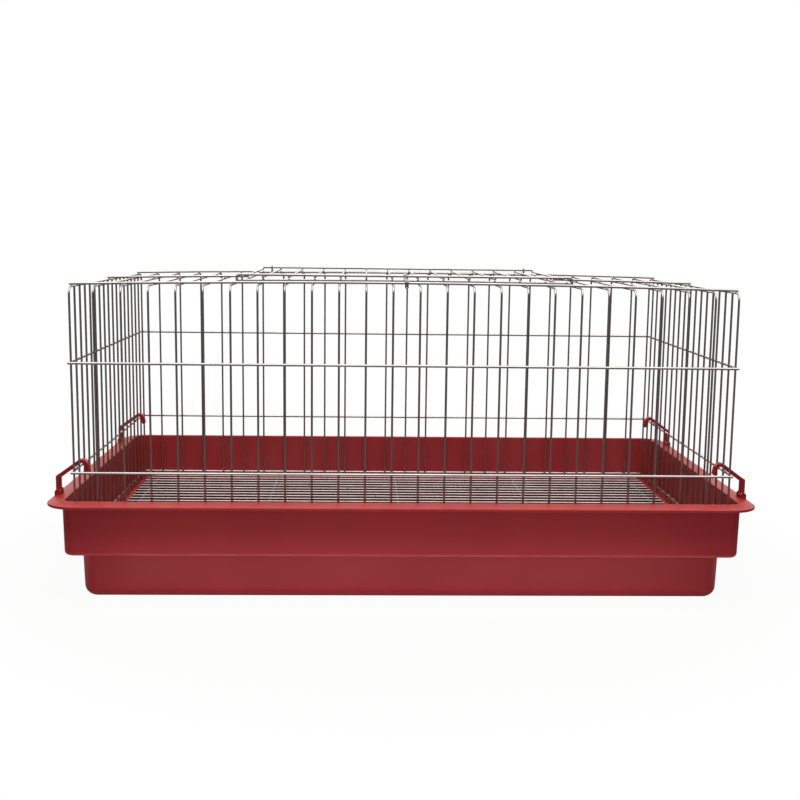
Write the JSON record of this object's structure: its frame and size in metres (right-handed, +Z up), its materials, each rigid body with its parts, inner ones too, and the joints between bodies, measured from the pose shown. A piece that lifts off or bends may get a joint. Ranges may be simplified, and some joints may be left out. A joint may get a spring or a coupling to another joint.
{
  "type": "guinea pig cage",
  "caption": "Small-animal cage: a red moulded tray with a wire floor grid, under a wire top with a hinged, latched top door, held down by four plastic hook clips.",
  "frame": {"origin": "centre of the tray's underside, on the surface that the cage stands on", "axes": "+Z up, +X to the right along the long side, the front with the latch at -Y"},
  "size_m": [0.805, 0.461, 0.3727],
  "materials": {
    "tray_plastic": "satin moulded",
    "clip_plastic": "satin moulded",
    "wall_wire": "bright zinc plate",
    "rail_wire": "bright zinc plate",
    "door_wire": "bright zinc plate",
    "grid_wire": "bright zinc plate",
    "ring_wire": "bright zinc plate",
    "latch_wire": "bright zinc plate"
  },
  "bodies": {
    "cage": {"back_bottom_rail": "rail_wire", "back_low_rail": "rail_wire", "back_mid_rail": "rail_wire", "back_wires": "wall_wire", "floor_grid_crossbars": "grid_wire", "floor_grid_wires": "grid_wire", "front_bottom_rail": "rail_wire", "front_low_rail": "rail_wire", "front_mid_rail": "rail_wire", "front_top_rail": "rail_wire", "front_wires": "wall_wire", "hinge_rings": "ring_wire", "left_bottom_rail": "rail_wire", "left_low_rail": "rail_wire", "left_mid_rail": "rail_wire", "left_wires": "wall_wire", "mid_top_rail_left": "rail_wire", "mid_top_rail_right": "rail_wire", "opening_front_rail": "rail_wire", "opening_rear_rail": "rail_wire", "rear_top_rail": "rail_wire", "right_bottom_rail": "rail_wire", "right_low_rail": "rail_wire", "right_mid_rail": "rail_wire", "right_wires": "wall_wire", "top_front_stubs": "wall_wire", "top_rear_stubs": "wall_wire", "top_wires_left": "wall_wire", "top_wires_right": "wall_wire", "tray": "tray_plastic"},
    "door": {"door_rear_wire": "door_wire", "door_front_wire": "door_wire", "door_side_wires": "door_wire", "door_wires": "door_wire"},
    "latch": {"latch_hook": "latch_wire"},
    "clip_front_left": {"clip_front_left": "clip_plastic"},
    "clip_front_right": {"clip_front_right": "clip_plastic"},
    "clip_rear_left": {"clip_rear_left": "clip_plastic"},
    "clip_rear_right": {"clip_rear_right": "clip_plastic"}
  },
  "joints": [
    {"name": "door_hinge", "type": "hinge", "parent": "cage", "child": "door", "pos_m": [0, 0.152, 0.36884], "axis": [-1, 0, 0], "range_deg": [0, 170]},
    {"name": "latch_pivot", "type": "hinge", "parent": "door", "child": "latch", "pos_m": [0, -0.137, 0.36884], "axis": [-1, 0, 0], "range_deg": [0, 160]},
    {"name": "clip_front_left_pivot", "type": "hinge", "parent": "cage", "child": "clip_front_left", "pos_m": [-0.39794, -0.168, 0.1191], "axis": [0, -1, 0], "range_deg": [0, 100]},
    {"name": "clip_front_right_pivot", "type": "hinge", "parent": "cage", "child": "clip_front_right", "pos_m": [0.39794, -0.168, 0.1191], "axis": [0, 1, 0], "range_deg": [0, 100]},
    {"name": "clip_rear_left_pivot", "type": "hinge", "parent": "cage", "child": "clip_rear_left", "pos_m": [-0.39794, 0.168, 0.1191], "axis": [0, -1, 0], "range_deg": [0, 100]},
    {"name": "clip_rear_right_pivot", "type": "hinge", "parent": "cage", "child": "clip_rear_right", "pos_m": [0.39794, 0.168, 0.1191], "axis": [0, 1, 0], "range_deg": [0, 100]}
  ]
}
